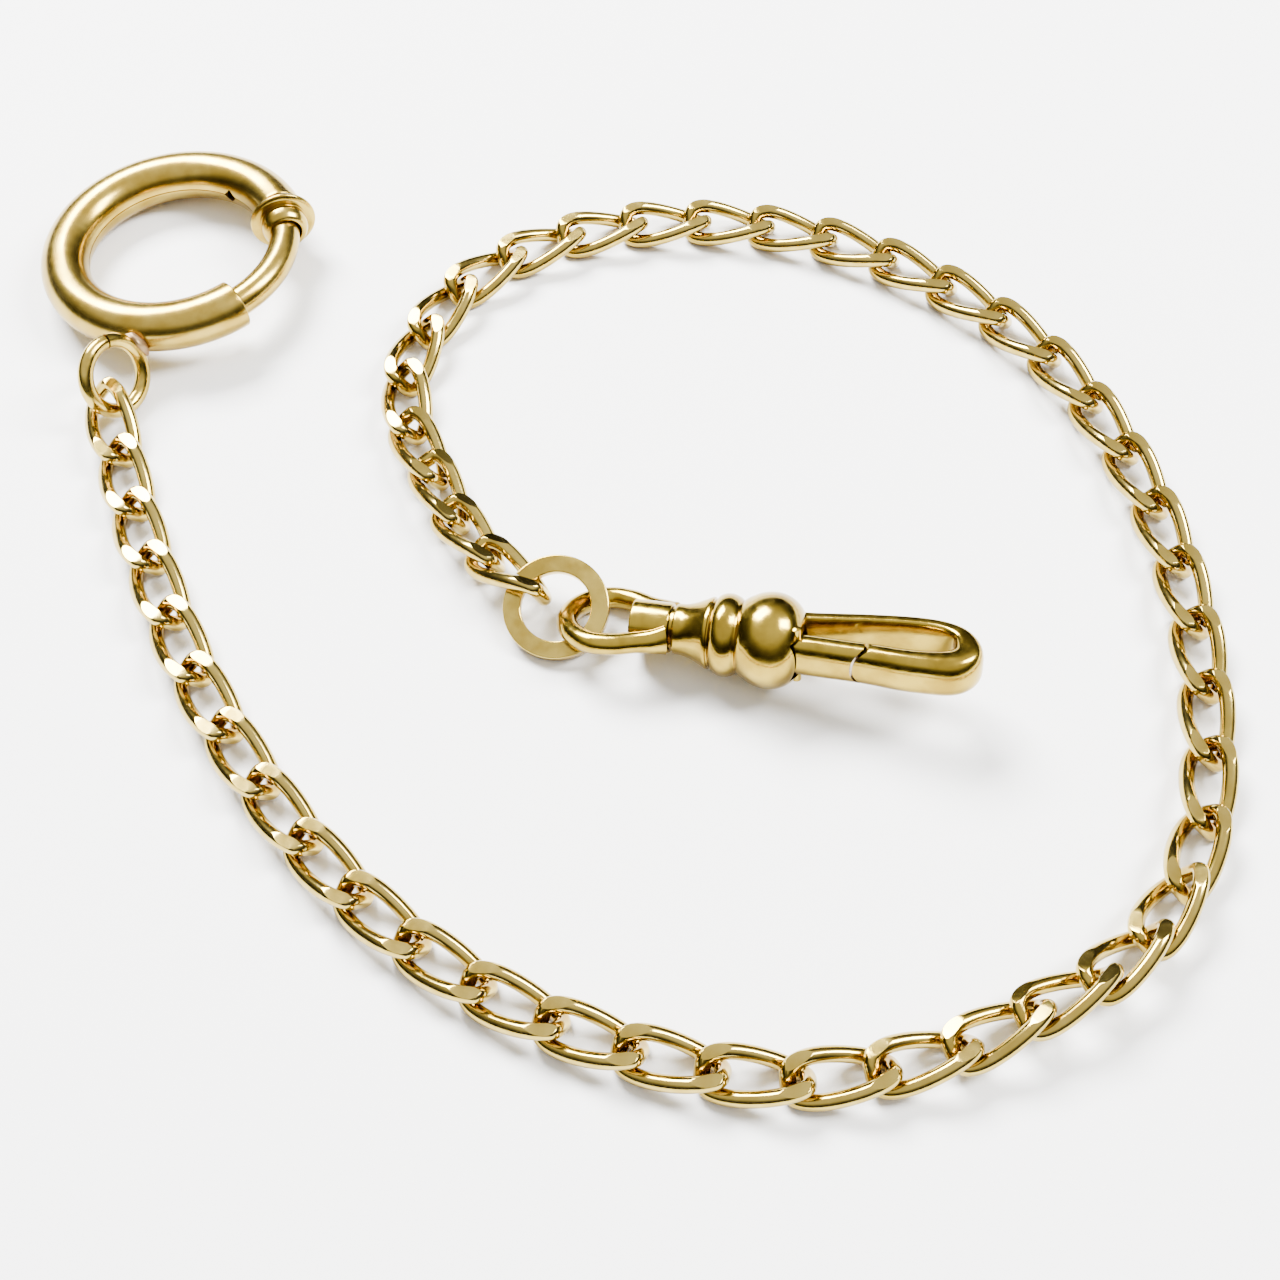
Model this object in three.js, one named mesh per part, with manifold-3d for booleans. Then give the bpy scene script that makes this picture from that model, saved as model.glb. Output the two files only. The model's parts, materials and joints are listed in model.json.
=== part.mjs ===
// A gentleman's watch chain, laid out in a loose loop on the plane z = 0.
//
// From one end to the other: a spring ring with a thumb knob, a jump ring, 47 twisted curb
// links with filed faces, a flat split ring, and a swivel hook with a sprung gate.
//
// Millimetres, +Z up. The origin is the middle of the layout's footprint, on that plane.

import * as THREE from 'three';
import { mergeVertices } from 'three/addons/utils/BufferGeometryUtils.js';
import Module from 'manifold-3d';

const wasm = await Module();
wasm.setup();

const DEG = Math.PI / 180;
const UP = new THREE.Vector3(0, 0, 1);

// ---- Driving dimensions ----

// Curb links
const LINK_COUNT = 47;
const LINK_PITCH = 5.52;
const WIRE_DIAMETER = 1.15;
const WIRE_CLEARANCE = 0.2;
const LINK_HALF_WIDTH = 1.5;
const LINK_SQUARENESS = 4.2;
const LINK_TWIST = 48 * DEG;
const FACET_HEIGHT = 1.2;
const LINK_STEPS = 20;
const WIRE_SIDES = 6;

// Spring ring
const RING_CENTRE = new THREE.Vector3(-39.2, 37.49, 2.78);
const RING_SLOPE = new THREE.Vector2(0.068, -0.055);
const RING_RADIUS = 9.3;
const RING_TUBE_RADIUS = 2;
const RING_BORE_RADIUS = 1.46;
const RING_TUBE_START = 24.5 * DEG;
const RING_TUBE_END = 311 * DEG;
const BOLT_RADIUS = 1.24;
const BOLT_START = 22 * DEG;
const BOLT_END = -62 * DEG;
const KNOB_ANGLE = 18.5 * DEG;
const KNOB_BORE_RADIUS = 1.56;
const RING_SPRING_START = -108 * DEG;
const RING_SPRING_END = -126 * DEG;
const SEAM_HOLE_ANGLE = 58 * DEG;
const SEAM_HOLE_LENGTH = 1.4;
const SEAM_HOLE_SIDE = 0.9;

// Jump ring
const JUMP_RING_CENTRE = new THREE.Vector3(-42.09, 23.16, 3.13);
const JUMP_RING_NORMAL = new THREE.Vector3(0.667, -0.357, 0.347);
const JUMP_RING_RADIUS = 2.8;
const JUMP_WIRE_RADIUS = 0.62;

// Flat split ring
const FLAT_RING_CENTRE = new THREE.Vector3(-6.24, 1.77, 1.73);
const FLAT_RING_SLOPE = new THREE.Vector2(0.09, 0.36);
const FLAT_RING_OUTER = 4;
const FLAT_RING_INNER = 2.65;
const FLAT_RING_THICKNESS = 0.85;
const FLAT_RING_SPLIT = 139 * DEG;
const FLAT_RING_GAP = 5 * DEG;

// Swivel hook; its own +X runs from the bow to the nose, +Y from the gate to the back of the hook
const DOME_CENTRE = new THREE.Vector3(9.6, -2.35, 3.6);
const SWIVEL_HEADING = -13.1 * DEG;
const SWIVEL_PITCH = 7.2 * DEG;
const HOOK_ROLL = -16 * DEG;
const BOW_ROLL = -23.8 * DEG;
const BOW_RADIUS = 3.3;
const BOW_WIRE_RADIUS = 0.8;
const BOW_TO_COLLAR = 1.7;
const BOW_SEAT_GAP = 0.16;
const COLLAR_RADIUS = 1.85;
const COLLAR_LENGTH = 2.9;
const COLLAR_EDGE = 0.12;
const COUNTERBORE_RADIUS = 1.35;
const COUNTERBORE_DEPTH = 0.7;
const SWIVEL_SEAM = 0.3;
const STEM_RADIUS = 0.75;
const STEM_BORE_RADIUS = 0.95;
const STEM_HEAD_RADIUS = 1.15;
const STEM_HEAD_THICKNESS = 0.5;
const STEM_REACH = 1.9;
const DOME_POSITION = 7.5;
const HOOK_THICKNESS = 3.3;
const HOOK_BEVEL = 0.42;
const NOSE_END = 13.7;
const NOSE_LEVEL = -1.2;
const GATE_PIVOT = new THREE.Vector2(9.5, -1.1);
const GATE_KNUCKLE_RADIUS = 1;
const GATE_PIN_RADIUS = 0.35;
const GATE_PIN_LENGTH = 4.9;
const GATE_PIN_CLEARANCE = 0.15;
const GATE_THICKNESS = 3.2;
const GATE_BEVEL = 0.5;
const GATE_GAP = 0.2;

// ---- Colours ----

const GOLD = 0xd9b45a;
const ROSE_GOLD = 0xcfa763;
const DEEP_GOLD = 0xc9a136;
const STEEL = 0x9a9a98;

// ---- Helpers ----

function metal(colour, roughness) {
  return new THREE.MeshStandardMaterial({ color: colour, metalness: 1, roughness });
}

function namedMesh(name, geometry, material) {
  const mesh = new THREE.Mesh(geometry, material);
  mesh.name = name;
  return mesh;
}

function toSolid(geometry) {
  const bare = geometry.clone();
  bare.deleteAttribute('normal');
  bare.deleteAttribute('uv');
  const merged = mergeVertices(bare, 1e-5);
  return new wasm.Manifold(new wasm.Mesh({
    numProp: 3,
    vertProperties: Float32Array.from(merged.attributes.position.array),
    triVerts: Uint32Array.from(merged.index.array),
  }));
}

function toGeometry(solid) {
  const mesh = solid.getMesh();
  const geometry = new THREE.BufferGeometry();
  geometry.setAttribute('position', new THREE.BufferAttribute(mesh.vertProperties, 3));
  geometry.setIndex(new THREE.BufferAttribute(mesh.triVerts, 1));
  geometry.computeVertexNormals();
  return geometry;
}

// An arc about +Z, as a curve that a section can follow.
class Arc extends THREE.Curve {
  constructor(radius, start, end) {
    super();
    this.radius = radius;
    this.start = start;
    this.end = end;
  }

  getPoint(t, target = new THREE.Vector3()) {
    const angle = this.start + (this.end - this.start) * t;
    return target.set(this.radius * Math.cos(angle), this.radius * Math.sin(angle), 0);
  }
}

// A coil whose own axis is the arc of a ring, for a spring that lies in a curved tube.
class CurvedCoil extends THREE.Curve {
  constructor(radius, start, end, coilRadius, turns) {
    super();
    Object.assign(this, { radius, start, end, coilRadius, turns });
  }

  getPoint(t, target = new THREE.Vector3()) {
    const angle = this.start + (this.end - this.start) * t;
    const turn = 2 * Math.PI * this.turns * t;
    const reach = this.radius + this.coilRadius * Math.cos(turn);
    const height = this.coilRadius * Math.sin(turn);
    return target.set(reach * Math.cos(angle), reach * Math.sin(angle), height);
  }
}

// A straight coil about +Z.
class Coil extends THREE.Curve {
  constructor(coilRadius, length, turns) {
    super();
    Object.assign(this, { coilRadius, length, turns });
  }

  getPoint(t, target = new THREE.Vector3()) {
    const turn = 2 * Math.PI * this.turns * t;
    const height = this.length * (t - 0.5);
    return target.set(this.coilRadius * Math.cos(turn), this.coilRadius * Math.sin(turn), height);
  }
}

function polygon(radius, sides) {
  const points = [];
  for (let i = 0; i < sides; i += 1) {
    const angle = (2 * Math.PI * (i + 0.5)) / sides;
    points.push(new THREE.Vector2(radius * Math.cos(angle), radius * Math.sin(angle)));
  }
  return points;
}

function tubeAlong(curve, radius, sides, steps, boreRadius = 0) {
  const section = new THREE.Shape(polygon(radius, sides));
  if (boreRadius > 0) {
    section.holes.push(new THREE.Path(polygon(boreRadius, sides)));
  }
  return new THREE.ExtrudeGeometry(section, { steps, extrudePath: curve, bevelEnabled: false });
}

// A turned solid about +X. Each profile row is [distance along the axis, radius].
function turned(profile, segments) {
  const points = profile.map(([along, radius]) => new THREE.Vector2(radius, along));
  const geometry = new THREE.LatheGeometry(points, segments);
  geometry.rotateZ(-90 * DEG);
  return geometry;
}

// The turn that lays a level part on a slope, given as its rise per millimetre along X and Y.
function slopeTurn(slope) {
  const normal = new THREE.Vector3(-slope.x, -slope.y, 1).normalize();
  return new THREE.Quaternion().setFromUnitVectors(UP, normal);
}

function pathPoint([x, y]) {
  return new THREE.Vector2(x, y);
}

// ---- Curb link ----

// The middle line of one link: a long oval, twisted a quarter turn from end to end.
class LinkCentreline extends THREE.Curve {
  constructor(halfLength) {
    super();
    this.halfLength = halfLength;
  }

  getPoint(t, target = new THREE.Vector3()) {
    const angle = 2 * Math.PI * t;
    const power = 2 / LINK_SQUARENESS;
    const cos = Math.cos(angle);
    const sin = Math.sin(angle);
    const along = this.halfLength * Math.sign(cos) * Math.abs(cos) ** power;
    const across = LINK_HALF_WIDTH * Math.sign(sin) * Math.abs(sin) ** power;
    const twist = (-LINK_TWIST * along) / this.halfLength;
    return target.set(along, across * Math.cos(twist), across * Math.sin(twist));
  }
}

// Half the distance between the middles of a link's two end wires.
const LINK_HALF_LENGTH = (LINK_PITCH + WIRE_DIAMETER + WIRE_CLEARANCE) / 2;

// The wire follows the centreline, and its top and bottom are filed flat.
function linkGeometry() {
  const curve = new LinkCentreline(LINK_HALF_LENGTH);
  const frames = [];
  for (let i = 0; i < LINK_STEPS; i += 1) {
    const t = i / LINK_STEPS;
    const before = curve.getPoint((t - 0.01 + 1) % 1);
    const after = curve.getPoint((t + 0.01) % 1);
    const tangent = after.sub(before).normalize();
    const centre = curve.getPoint(t);
    const side = new THREE.Vector3().crossVectors(UP, tangent).normalize();
    const top = new THREE.Vector3().crossVectors(tangent, side);
    frames.push({ centre, side, top });
  }
  const positions = [];
  for (const { centre, side, top } of frames) {
    for (const corner of polygon(WIRE_DIAMETER / 2, WIRE_SIDES)) {
      const point = centre.clone().addScaledVector(side, -corner.y).addScaledVector(top, corner.x);
      positions.push(point.x, point.y, THREE.MathUtils.clamp(point.z, -FACET_HEIGHT, FACET_HEIGHT));
    }
  }
  const indices = [];
  for (let i = 0; i < LINK_STEPS; i += 1) {
    for (let j = 0; j < WIRE_SIDES; j += 1) {
      const next = ((i + 1) % LINK_STEPS) * WIRE_SIDES;
      const a = i * WIRE_SIDES + j;
      const b = i * WIRE_SIDES + ((j + 1) % WIRE_SIDES);
      const c = next + ((j + 1) % WIRE_SIDES);
      const d = next + j;
      indices.push(a, b, d, b, c, d);
    }
  }
  const geometry = new THREE.BufferGeometry();
  geometry.setAttribute('position', new THREE.Float32BufferAttribute(positions, 3));
  geometry.setIndex(indices);
  geometry.computeVertexNormals();
  return geometry;
}

// ---- Chain layout ----

// The line on which the contact points between the links lie: x, y, and any lift above the
// height at which a link lies flat.
const CHAIN_ROUTE = new THREE.CatmullRomCurve3([
  [-42.4, 22.2, 0.8],
  [-41.2, 16.6, 0],
  [-37.4, 6.3, 0],
  [-32.8, -3.6, 0],
  [-26.9, -12.9, 0],
  [-19.8, -21.2, 0],
  [-11.1, -27.9, 0],
  [-0.9, -32.4, 0],
  [10.0, -34.5, 0],
  [20.9, -32.4, 0.25],
  [25.5, -30.3, 0.8],
  [30.1, -28.1, 1.15],
  [34.0, -25.0, 0.65],
  [37.4, -20.4, 0.25],
  [39.6, -15.5, 0.05],
  [41.2, -4.5, 0],
  [40.8, 6.4, 0],
  [38.2, 17.2, 0],
  [33.3, 27.0, 0],
  [25.5, 34.7, 0],
  [15.9, 40.1, 0],
  [5.2, 42.1, 0],
  [-5.7, 40.5, 0],
  [-14.9, 34.6, 0],
  [-19.2, 24.6, 0],
  [-18.6, 19.7, 0.05],
  [-16.5, 15.0, 0.15],
  [-14.5, 10.5, 0.3],
  [-12.0, 6.8, 0.43],
  [-8.2, 3.1, 1.1],
].map(([x, y, lift]) => new THREE.Vector3(x, y, FACET_HEIGHT + lift)), false, 'centripetal');

// Contacts where the chain isn't taut, as contact number and how far the next link has slid back.
const CHAIN_SLACK = new Map([
  [17, 0.1],
  [18, 0.35],
  [19, 0.45],
  [20, 0.3],
  [21, 0.5],
  [40, 0.1],
  [41, 0.2],
  [42, 0.2],
  [43, 0.3],
  [44, 0.8],
  [45, 0.55],
  [46, 0.62],
]);

// Links that don't lie flat, as link number and roll about the chain.
const LINK_ROLLS = new Map([
  [1, 2 * DEG],
  [17, -12 * DEG],
  [18, -20 * DEG],
  [19, -29 * DEG],
  [20, -25 * DEG],
  [21, -20 * DEG],
  [22, -3 * DEG],
  [44, -9.8 * DEG],
  [45, -19.5 * DEG],
  [46, -22 * DEG],
  [47, -22.5 * DEG],
]);

// The end links turn toward the rings that they hang on. Each aim is a heading and a rise.
const FIRST_LINK_AIM = [108.7 * DEG, 7.1 * DEG];
const LAST_LINK_AIM = [-43.4 * DEG, 8 * DEG];

function stepFrom(contact, [heading, rise]) {
  const flat = Math.cos(rise);
  const step = new THREE.Vector3(flat * Math.cos(heading), flat * Math.sin(heading), Math.sin(rise));
  return contact.clone().addScaledVector(step, LINK_PITCH);
}

// Walks along the route and lays down the rear and front contact of each link in turn.
function linkSpans() {
  const fine = CHAIN_ROUTE.getPoints(8000);
  const spans = [];
  let at = 0;
  for (let number = 1; number <= LINK_COUNT; number += 1) {
    const rear = fine[at];
    while (at < fine.length - 1 && fine[at].distanceTo(rear) < LINK_PITCH) {
      at += 1;
    }
    const front = fine[at];
    spans.push({ rear, front });
    while (fine[at].distanceTo(front) < (CHAIN_SLACK.get(number) ?? 0)) {
      at -= 1;
    }
  }
  spans[0].rear = stepFrom(spans[0].front, FIRST_LINK_AIM);
  spans[LINK_COUNT - 1].front = stepFrom(spans[LINK_COUNT - 1].rear, LAST_LINK_AIM);
  return spans;
}

function placeLink(mesh, from, to, roll) {
  const along = to.clone().sub(from).normalize();
  const across = new THREE.Vector3().crossVectors(UP, along).normalize();
  const normal = new THREE.Vector3().crossVectors(along, across);
  mesh.quaternion.setFromRotationMatrix(new THREE.Matrix4().makeBasis(along, across, normal));
  mesh.rotateX(roll);
  mesh.position.copy(from).add(to).multiplyScalar(0.5);
}

function buildChain() {
  const chain = new THREE.Group();
  const geometry = linkGeometry();
  for (const [index, { rear, front }] of linkSpans().entries()) {
    const number = index + 1;
    const name = `chain_link_${String(number).padStart(2, '0')}`;
    const link = namedMesh(name, geometry, metal(GOLD, 0.22));
    placeLink(link, rear, front, LINK_ROLLS.get(number) ?? 0);
    chain.add(link);
  }
  return chain;
}

// ---- Spring ring ----

// The hollow tube, with the small opening in its inner seam.
function springRingTube() {
  const arc = new Arc(RING_RADIUS, RING_TUBE_START, RING_TUBE_END);
  const pipe = tubeAlong(arc, RING_TUBE_RADIUS, 10, 26, RING_BORE_RADIUS);
  const seamHole = new THREE.BoxGeometry(SEAM_HOLE_LENGTH, SEAM_HOLE_SIDE, SEAM_HOLE_SIDE);
  seamHole.rotateX(45 * DEG);
  seamHole.translate(RING_RADIUS - RING_TUBE_RADIUS, 0, 0);
  seamHole.rotateZ(SEAM_HOLE_ANGLE);
  return toGeometry(toSolid(pipe).subtract(toSolid(seamHole)));
}

// A thin flange with a dished front, then a bead and a neck that the bolt comes out of.
function thumbKnob() {
  const geometry = turned([
    [-0.35, KNOB_BORE_RADIUS],
    [-0.35, 1.8],
    [-0.1, 2.5],
    [0.1, 2.75],
    [0.35, 2.75],
    [0.5, 2.45],
    [0.55, 1.9],
    [0.95, 2],
    [1.45, 1.88],
    [1.9, 1.66],
    [1.9, KNOB_BORE_RADIUS],
    [-0.35, KNOB_BORE_RADIUS],
  ], 20);
  geometry.rotateZ(-90 * DEG);
  geometry.translate(RING_RADIUS, 0, 0);
  geometry.rotateZ(KNOB_ANGLE);
  return geometry;
}

function buildSpringRing() {
  const ring = new THREE.Group();
  ring.quaternion.copy(slopeTurn(RING_SLOPE));
  ring.position.copy(RING_CENTRE);
  ring.add(namedMesh('spring_ring_tube', springRingTube(), metal(ROSE_GOLD, 0.3)));

  const boltArc = new Arc(RING_RADIUS, BOLT_START, BOLT_END);
  const bolt = tubeAlong(boltArc, BOLT_RADIUS, 10, 12);
  ring.add(namedMesh('spring_ring_bolt', bolt, metal(ROSE_GOLD, 0.32)));
  ring.add(namedMesh('thumb_knob', thumbKnob(), metal(ROSE_GOLD, 0.28)));

  const coil = new CurvedCoil(RING_RADIUS, RING_SPRING_START, RING_SPRING_END, 1, 6);
  const spring = tubeAlong(coil, 0.16, 4, 54);
  ring.add(namedMesh('spring_ring_spring', spring, metal(STEEL, 0.35)));
  return ring;
}

// ---- Jump ring ----

function buildJumpRing() {
  const geometry = new THREE.TorusGeometry(JUMP_RING_RADIUS, JUMP_WIRE_RADIUS, 8, 22);
  const ring = namedMesh('jump_ring', geometry, metal(GOLD, 0.25));
  ring.quaternion.setFromUnitVectors(UP, JUMP_RING_NORMAL.clone().normalize());
  ring.position.copy(JUMP_RING_CENTRE);
  return ring;
}

// ---- Flat split ring ----

function buildFlatRing() {
  const outline = new THREE.Shape();
  const start = FLAT_RING_GAP / 2;
  const end = 2 * Math.PI - FLAT_RING_GAP / 2;
  outline.absarc(0, 0, FLAT_RING_OUTER, start, end, false);
  outline.absarc(0, 0, FLAT_RING_INNER, end, start, true);
  const depth = FLAT_RING_THICKNESS;
  const geometry = new THREE.ExtrudeGeometry(outline, { depth, curveSegments: 28, bevelEnabled: false });
  geometry.translate(0, 0, -depth / 2);
  geometry.rotateZ(FLAT_RING_SPLIT);
  const ring = namedMesh('flat_ring', geometry, metal(GOLD, 0.25));
  ring.quaternion.copy(slopeTurn(FLAT_RING_SLOPE));
  ring.position.copy(FLAT_RING_CENTRE);
  return ring;
}

// ---- Swivel ----

function collar() {
  return turned([
    [-COLLAR_LENGTH, COUNTERBORE_RADIUS],
    [-COLLAR_LENGTH, COLLAR_RADIUS - COLLAR_EDGE],
    [-COLLAR_LENGTH + COLLAR_EDGE, COLLAR_RADIUS],
    [-COLLAR_EDGE, COLLAR_RADIUS],
    [0, COLLAR_RADIUS - COLLAR_EDGE],
    [0, STEM_BORE_RADIUS],
    [-COLLAR_LENGTH + COUNTERBORE_DEPTH, STEM_BORE_RADIUS],
    [-COLLAR_LENGTH + COUNTERBORE_DEPTH, COUNTERBORE_RADIUS],
    [-COLLAR_LENGTH, COUNTERBORE_RADIUS],
  ], 20);
}

// The rivet that holds the collar and the body together, with a head at each end.
function stem() {
  return turned([
    [-COLLAR_LENGTH, 0],
    [-COLLAR_LENGTH, STEM_HEAD_RADIUS],
    [-COLLAR_LENGTH + STEM_HEAD_THICKNESS, STEM_HEAD_RADIUS],
    [-COLLAR_LENGTH + STEM_HEAD_THICKNESS, STEM_RADIUS],
    [STEM_REACH, STEM_RADIUS],
    [STEM_REACH, STEM_HEAD_RADIUS],
    [STEM_REACH + STEM_HEAD_THICKNESS, STEM_HEAD_RADIUS],
    [STEM_REACH + STEM_HEAD_THICKNESS, 0],
  ], 14);
}

// The bow is a wire loop whose two arms run along the sides of the collar.
function bow() {
  const arm = [[BOW_TO_COLLAR + 2.2, 2.3], [BOW_TO_COLLAR + 0.7, 2.5], [0.9, 3.1], [-0.8, 3.2],
    [-2.3, 2.35], [-3.1, 1.15]];
  const otherArm = arm.map(([x, y]) => [x, -y]).reverse();
  const path = [...arm, [-BOW_RADIUS, 0], ...otherArm].map(([x, y]) => new THREE.Vector3(x, y, 0));
  const wire = tubeAlong(new THREE.CatmullRomCurve3(path), BOW_WIRE_RADIUS, 8, 26);
  const seatRadius = COLLAR_RADIUS + BOW_SEAT_GAP;
  const seatLength = 2 * BOW_RADIUS;
  const seat = new THREE.CylinderGeometry(seatRadius, seatRadius, seatLength, 20);
  seat.rotateZ(90 * DEG);
  seat.translate(BOW_TO_COLLAR - BOW_SEAT_GAP + seatLength / 2, 0, 0);
  return toGeometry(toSolid(wire).subtract(toSolid(seat)));
}

// The turned body: neck, flare, bead and dome, bored for the stem.
function turnedBody() {
  return turned([
    [3.5, 0],
    [3.5, 1.5],
    [1.5, 1.5],
    [1.5, STEM_BORE_RADIUS],
    [SWIVEL_SEAM, STEM_BORE_RADIUS],
    [SWIVEL_SEAM, 1.8],
    [0.5, 1.88],
    [1.3, 1.98],
    [2.2, 2.35],
    [2.95, 2.68],
    [3.15, 2.52],
    [3.4, 2.75],
    [3.85, 3.03],
    [4.45, 3.05],
    [4.95, 2.85],
    [5.25, 2.72],
    [5.6, 2.95],
    [6.3, 3.35],
    [7.1, 3.54],
    [7.9, 3.54],
    [8.6, 3.32],
    [9.2, 2.9],
    [9.7, 2.25],
    [10.0, 1.4],
    [10.1, 0],
  ], 24);
}

// The hook's outline seen square to its plane, from the dome round the nose to the gate's seat.
function hookOutline() {
  const outer = [[8.2, 1.9], [10.2, 1.95], [14, 2.45], [17.2, 2.8], [19.6, 2.75], [21.5, 2.05],
    [22.6, 0.7], [22.65, -0.7], [21.6, -1.95], [19.8, -2.5], [17.2, -2.5], [13.6, -2.2]];
  const inner = [[13.6, -0.2], [17.4, -0.35], [19.5, -0.25], [20.4, 0.4], [20.3, 1.2],
    [19.2, 1.75], [17.2, 1.85], [14, 1.55], [10.2, 1.05], [8.2, 0.95]];
  return new THREE.Shape([...outer, ...inner].map(pathPoint));
}

function extrudedAbout(outline, thickness, bevel) {
  const depth = thickness - 2 * bevel;
  const geometry = new THREE.ExtrudeGeometry(outline, {
    depth,
    bevelEnabled: true,
    bevelThickness: bevel,
    bevelSize: bevel,
    bevelOffset: -bevel,
    bevelSegments: 1,
  });
  geometry.translate(0, 0, -depth / 2);
  return geometry;
}

// The middle of the rounded end of the nose, which the gate closes on.
const NOSE_ROUND_X = NOSE_END + HOOK_THICKNESS / 2;

// A block between two planes across the hook, from one X to another.
function blockAcross(fromX, toX, fromY, toY, thickness) {
  const block = new THREE.BoxGeometry(toX - fromX, toY - fromY, thickness);
  block.translate((fromX + toX) / 2, (fromY + toY) / 2, 0);
  return toSolid(block);
}

function noseRound(radius) {
  const round = new THREE.CylinderGeometry(radius, radius, 6, 24);
  round.translate(NOSE_ROUND_X, NOSE_LEVEL, 0);
  return toSolid(round);
}

function gatePinRod(radius, length) {
  const rod = new THREE.CylinderGeometry(radius, radius, length, 10);
  rod.rotateX(90 * DEG);
  rod.translate(GATE_PIVOT.x, GATE_PIVOT.y, 0);
  return rod;
}

function gatePinHole() {
  return toSolid(gatePinRod(GATE_PIN_RADIUS + GATE_PIN_CLEARANCE, 9));
}

// The dome is slotted for the gate's knuckle, and the nose is rounded off where the gate lands.
function swivelBody() {
  const outline = toSolid(extrudedAbout(hookOutline(), HOOK_THICKNESS, HOOK_BEVEL));
  const pastNose = blockAcross(NOSE_ROUND_X - 4, NOSE_ROUND_X, NOSE_LEVEL - 3, NOSE_LEVEL + 1.05, 6);
  const hook = outline.subtract(pastNose.subtract(noseRound(HOOK_THICKNESS / 2)));
  const slotStart = GATE_PIVOT.x - GATE_KNUCKLE_RADIUS - GATE_GAP;
  const slot = blockAcross(slotStart, slotStart + 4.4, -4.2, 0.25, GATE_THICKNESS + 2 * GATE_GAP);
  const dome = toSolid(turnedBody()).subtract(slot).subtract(gatePinHole());
  return toGeometry(dome.add(hook));
}

function gateOutline() {
  const outline = new THREE.Shape();
  outline.moveTo(GATE_PIVOT.x, GATE_PIVOT.y + GATE_KNUCKLE_RADIUS);
  outline.absarc(GATE_PIVOT.x, GATE_PIVOT.y, GATE_KNUCKLE_RADIUS, 90 * DEG, 270 * DEG, false);
  outline.lineTo(13, GATE_PIVOT.y - 1.05);
  outline.lineTo(16.2, GATE_PIVOT.y - 1.1);
  outline.lineTo(16.2, GATE_PIVOT.y + 0.85);
  outline.lineTo(13, GATE_PIVOT.y + 0.95);
  return outline;
}

// The gate bar, knuckled round its pin and hollowed at its end to meet the round of the nose.
function gate() {
  const bar = toSolid(extrudedAbout(gateOutline(), GATE_THICKNESS, GATE_BEVEL));
  const seat = noseRound(HOOK_THICKNESS / 2 + GATE_GAP);
  const pastSeat = blockAcross(NOSE_ROUND_X, NOSE_ROUND_X + 4, -4.2, 1.8, 6);
  const { x, y } = GATE_PIVOT;
  const springPocket = blockAcross(x - 1.5, x + 1.1, y - 1.3, y + 1.3, 1.5);
  const cuts = [seat, pastSeat, gatePinHole(), springPocket];
  return toGeometry(cuts.reduce((solid, cut) => solid.subtract(cut), bar));
}

function gateSpring() {
  const geometry = tubeAlong(new Coil(0.68, 0.9, 3), 0.12, 4, 30);
  geometry.translate(GATE_PIVOT.x, GATE_PIVOT.y, 0);
  return geometry;
}

function buildSwivel() {
  const swivel = new THREE.Group();
  swivel.position.copy(DOME_CENTRE);
  swivel.rotation.set(0, -SWIVEL_PITCH, SWIVEL_HEADING, 'ZYX');

  const atSeam = new THREE.Group();
  atSeam.position.x = -DOME_POSITION;
  swivel.add(atSeam);
  atSeam.add(namedMesh('swivel_collar', collar(), metal(DEEP_GOLD, 0.2)));
  atSeam.add(namedMesh('swivel_stem', stem(), metal(DEEP_GOLD, 0.3)));

  const bowMesh = namedMesh('swivel_bow', bow(), metal(DEEP_GOLD, 0.2));
  bowMesh.position.x = -COLLAR_LENGTH - BOW_TO_COLLAR;
  bowMesh.rotation.x = BOW_ROLL;
  atSeam.add(bowMesh);

  const rolled = new THREE.Group();
  rolled.rotation.x = HOOK_ROLL;
  rolled.add(namedMesh('swivel_body', swivelBody(), metal(DEEP_GOLD, 0.18)));
  rolled.add(namedMesh('swivel_gate', gate(), metal(DEEP_GOLD, 0.22)));
  rolled.add(namedMesh('gate_pin', gatePinRod(GATE_PIN_RADIUS, GATE_PIN_LENGTH), metal(DEEP_GOLD, 0.3)));
  rolled.add(namedMesh('gate_spring', gateSpring(), metal(STEEL, 0.35)));
  atSeam.add(rolled);
  return swivel;
}

// ---- Assembly ----

const layout = new THREE.Group();
layout.add(buildSpringRing(), buildJumpRing(), buildChain(), buildFlatRing(), buildSwivel());

const group = new THREE.Group();
group.add(layout);
group.updateMatrixWorld(true);

// The middle of the footprint becomes the origin, and the lowest point rests on z = 0.
const bounds = new THREE.Box3().setFromObject(layout, true);
const middle = bounds.getCenter(new THREE.Vector3());
layout.position.set(-middle.x, -middle.y, -bounds.min.z);
group.updateMatrixWorld(true);

export default group;
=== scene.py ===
import json
import math

import bmesh
import bpy
import numpy as np
from mathutils import Matrix, Vector


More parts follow.
